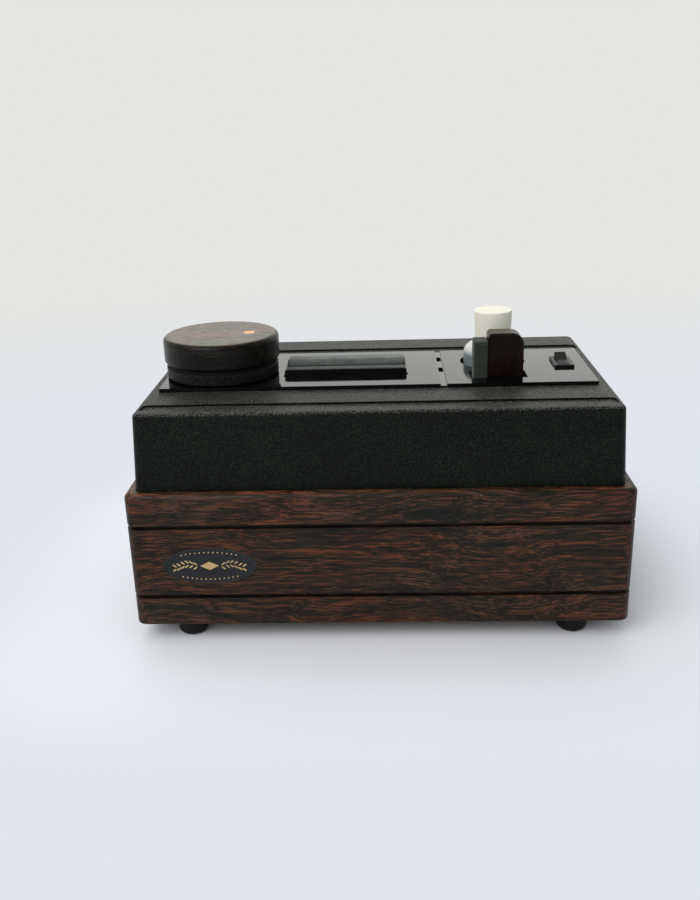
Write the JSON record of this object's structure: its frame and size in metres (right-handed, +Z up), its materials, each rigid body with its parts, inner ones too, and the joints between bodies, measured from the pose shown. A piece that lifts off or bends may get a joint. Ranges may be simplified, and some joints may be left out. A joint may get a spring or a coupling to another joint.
{
  "type": "record cleaning machine",
  "caption": "Compact vacuum record cleaner: hand-turned platter, velvet-lipped suction slot, fluid bottle, brush and rocker switch on a moulded top over a grooved dark wooden base.",
  "frame": {"origin": "on the floor, under the middle of the whole machine", "axes": "+Z up; +X to the right and -Y towards the user, seen from the badge's side"},
  "size_m": [0.37, 0.236, 0.2232],
  "materials": {
    "stained_wood": "satin lacquer over dark stain",
    "plain_wood": "unfinished softwood and board",
    "screw_steel": "zinc plated",
    "foot_rubber": "matte black",
    "badge": "black, with a fine light rim",
    "housing_plastic": "fine hair-cell grain",
    "gloss_black": "polished acrylic",
    "velvet": "short pile",
    "black_plastic": "plain moulding",
    "tank_plastic": "milky polyethylene",
    "hose_rubber": "smooth",
    "motor_sheet": "zinc plated sheet",
    "motor_iron": "varnished laminations",
    "bearing_steel": "ground",
    "fan_aluminium": "pressed sheet",
    "carbon": "carbon",
    "bush_brass": "turned",
    "washer_plastic": "natural nylon",
    "spindle_steel": "polished",
    "mat_rubber": "fine grain",
    "disc_wood": "satin lacquer over dark stain",
    "marker": "smooth, amber",
    "bottle_plastic": "translucent polyethylene",
    "cap_plastic": "smooth ivory",
    "brush_wood": "gloss lacquer over dark stain",
    "switch_plastic": "smooth black",
    "terminal_plastic": "natural",
    "wire_sleeve": "smooth"
  },
  "bodies": {
    "cabinet": {"front_board": "stained_wood", "rear_board": "stained_wood", "left_board": "stained_wood", "right_board": "stained_wood", "front_cleat": "plain_wood", "rear_cleat": "plain_wood", "front_rail": "plain_wood", "rear_rail": "plain_wood", "bottom_panel": "plain_wood", "panel_screws": "screw_steel", "feet": "foot_rubber", "foot_screws": "screw_steel", "badge_plate": "badge", "top_housing": "housing_plastic", "housing_screws": "screw_steel", "left_plate": "gloss_black", "right_plate": "gloss_black", "joint_strip": "gloss_black", "slot_block": "gloss_black", "front_lip": "velvet", "velvet_lip": "velvet", "suction_duct": "black_plastic", "duct_hose": "hose_rubber", "waste_tank": "tank_plastic", "tank_lid": "black_plastic", "vacuum_hose": "hose_rubber", "drain_spout": "black_plastic", "fan_housing": "motor_sheet", "motor_can": "motor_sheet", "motor_stator": "motor_iron", "motor_bearings": "bearing_steel", "carbon_brushes": "carbon", "motor_bracket": "motor_sheet", "motor_pads": "foot_rubber", "bearing_bush": "bush_brass", "thrust_washer": "washer_plastic", "bottle_well": "black_plastic", "brush_well": "black_plastic", "switch_body": "switch_plastic", "rear_panel": "motor_sheet", "rear_panel_screws": "screw_steel", "cable_gland": "hose_rubber", "terminal_block": "terminal_plastic", "wiring": "wire_sleeve"},
    "platter": {"spindle": "spindle_steel", "spindle_collar": "screw_steel", "platter": "housing_plastic", "platter_mat": "mat_rubber"},
    "turning_disc": {"turning_disc": "disc_wood", "disc_pad": "mat_rubber", "disc_marker": "marker"},
    "bottle": {"bottle_body": "bottle_plastic"},
    "bottle_cap": {"bottle_cap": "cap_plastic"},
    "brush": {"brush_handle": "brush_wood", "brush_pad": "velvet"},
    "rocker": {"switch_rocker": "switch_plastic"},
    "rotor": {"fan_wheel": "fan_aluminium", "motor_armature": "motor_iron"},
    "drain_plug": {"drain_plug": "hose_rubber"}
  },
  "joints": [
    {"name": "platter_spin", "type": "hinge", "parent": "cabinet", "child": "platter", "pos_m": [-0.1233, -0.0087, 0.1865], "axis": [0, 0, 1], "continuous": true},
    {"name": "disc_lift", "type": "slide", "parent": "platter", "child": "turning_disc", "axis": [0, 0, 1], "range_m": [0, 0.08]},
    {"name": "bottle_lift", "type": "slide", "parent": "cabinet", "child": "bottle", "axis": [0, 0, 1], "range_m": [0, 0.13]},
    {"name": "cap_lift", "type": "slide", "parent": "bottle", "child": "bottle_cap", "axis": [0, 0, 1], "range_m": [0, 0.04]},
    {"name": "brush_lift", "type": "slide", "parent": "cabinet", "child": "brush", "axis": [0, 0, 1], "range_m": [0, 0.12]},
    {"name": "rocker_tilt", "type": "hinge", "parent": "cabinet", "child": "rocker", "pos_m": [0.1478, 0.0017, 0.18], "axis": [1, 0, 0], "range_deg": [-22, 0]},
    {"name": "rotor_spin", "type": "hinge", "parent": "cabinet", "child": "rotor", "pos_m": [0.1, 0.035, 0.0675], "axis": [1, 0, 0], "continuous": true},
    {"name": "plug_pull", "type": "slide", "parent": "cabinet", "child": "drain_plug", "axis": [0, 1, 0], "range_m": [0, 0.03]}
  ]
}
